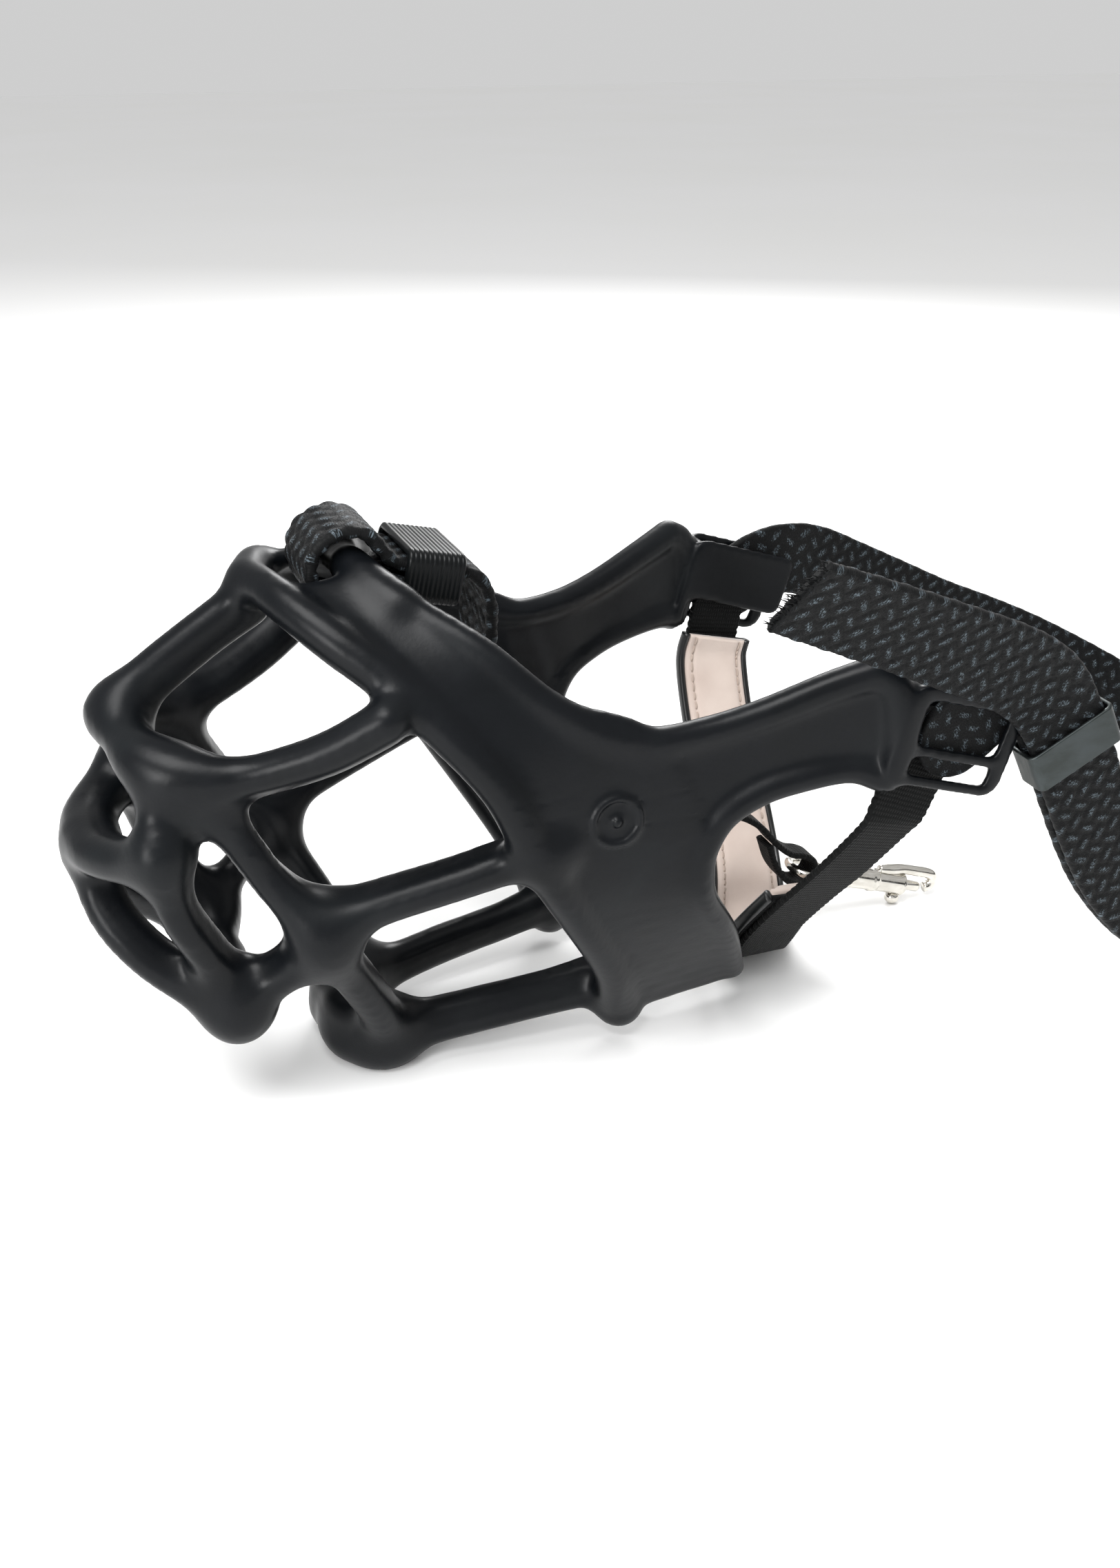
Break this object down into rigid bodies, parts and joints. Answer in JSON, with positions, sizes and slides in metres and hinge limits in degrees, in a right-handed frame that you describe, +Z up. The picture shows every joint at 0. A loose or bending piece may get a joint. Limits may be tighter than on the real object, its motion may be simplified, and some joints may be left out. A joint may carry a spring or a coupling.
{
  "type": "basket muzzle",
  "caption": "Moulded rubber basket muzzle for a dog, with a buckled neck strap, a padded throat strap with a bolt snap, and an overhead strap.",
  "frame": {"origin": "middle of the flat under the basket's foot, on the surface it rests on", "axes": "+Z up, +X towards the dog's neck (the nose is at -X), -Y is the dog's left side"},
  "size_m": [0.3444, 0.1252, 0.1337],
  "materials": {
    "rubber_black": "satin injection-moulded rubber with a soft sheen",
    "strap_braid": "black braided chevron webbing, faint lengthwise ribs",
    "webbing_black": "black flat woven webbing with picot edges",
    "pad_suede": "pale suede lining with a stitched border",
    "pad_binding_gloss": "black glossy coated fabric, stitched",
    "keeper_metal": "gunmetal, folded from sheet",
    "hardware_nickel": "nickel plated, polished",
    "sleeve_rubber": "black, finely ribbed moulded sleeve"
  },
  "bodies": {
    "basket": {"basket": "rubber_black"},
    "throat": {"throat_webbing": "webbing_black", "pad_backing": "pad_binding_gloss", "pad_lining": "pad_suede", "pad_binding": "pad_binding_gloss", "collar_tab": "webbing_black"},
    "snap_eye": {"snap_swivel_eye": "hardware_nickel"},
    "snap": {"snap_body": "hardware_nickel"},
    "bolt": {"snap_bolt": "hardware_nickel", "snap_spring": "hardware_nickel"},
    "neck": {"neck_strap_left": "strap_braid", "neck_strap_right": "strap_braid", "buckle_frame": "hardware_nickel"},
    "prong": {"buckle_prong": "hardware_nickel"},
    "keeper": {"neck_keeper": "keeper_metal"},
    "overhead": {"overhead_strap": "strap_braid"},
    "sleeve": {"overhead_sleeve": "sleeve_rubber"}
  },
  "joints": [
    {"name": "throat_swing", "type": "hinge", "parent": "basket", "child": "throat", "pos_m": [0.1205, 0, 0.081], "axis": [0, -1, 0], "range_deg": [-8, 22]},
    {"name": "neck_swing", "type": "hinge", "parent": "basket", "child": "neck", "pos_m": [0.125, 0, 0.082], "axis": [0, -1, 0], "range_deg": [0, 30]},
    {"name": "overhead_swing", "type": "hinge", "parent": "basket", "child": "overhead", "pos_m": [0.0023, 0, 0.1231], "axis": [0, 1, 0], "range_deg": [-20, 14]},
    {"name": "prong_swing", "type": "hinge", "parent": "neck", "child": "prong", "pos_m": [0.217, -0.0554, 0.014], "axis": [0, 0, -1], "range_deg": [0, 15]},
    {"name": "keeper_slide", "type": "slide", "parent": "neck", "child": "keeper", "axis": [0.4472, 0, -0.8944], "range_m": [0, 0.012]},
    {"name": "sleeve_slide", "type": "slide", "parent": "overhead", "child": "sleeve", "axis": [0.9744, 0, -0.225], "range_m": [-0.0005, 0.0025]},
    {"name": "snap_swing", "type": "hinge", "parent": "throat", "child": "snap_eye", "pos_m": [0.12153, 0.005, 0.01848], "axis": [0, 1, 0], "range_deg": [-60, 30]},
    {"name": "snap_swivel", "type": "hinge", "parent": "snap_eye", "child": "snap", "pos_m": [0.1267, 0.005, 0.0166], "axis": [0.9397, 0, -0.342], "continuous": true},
    {"name": "bolt_slide", "type": "slide", "parent": "snap", "child": "bolt", "axis": [-0.9397, 0, 0.342], "range_m": [0, 0.005], "stiffness_N_per_m": 600, "springref_m": -0.003}
  ]
}
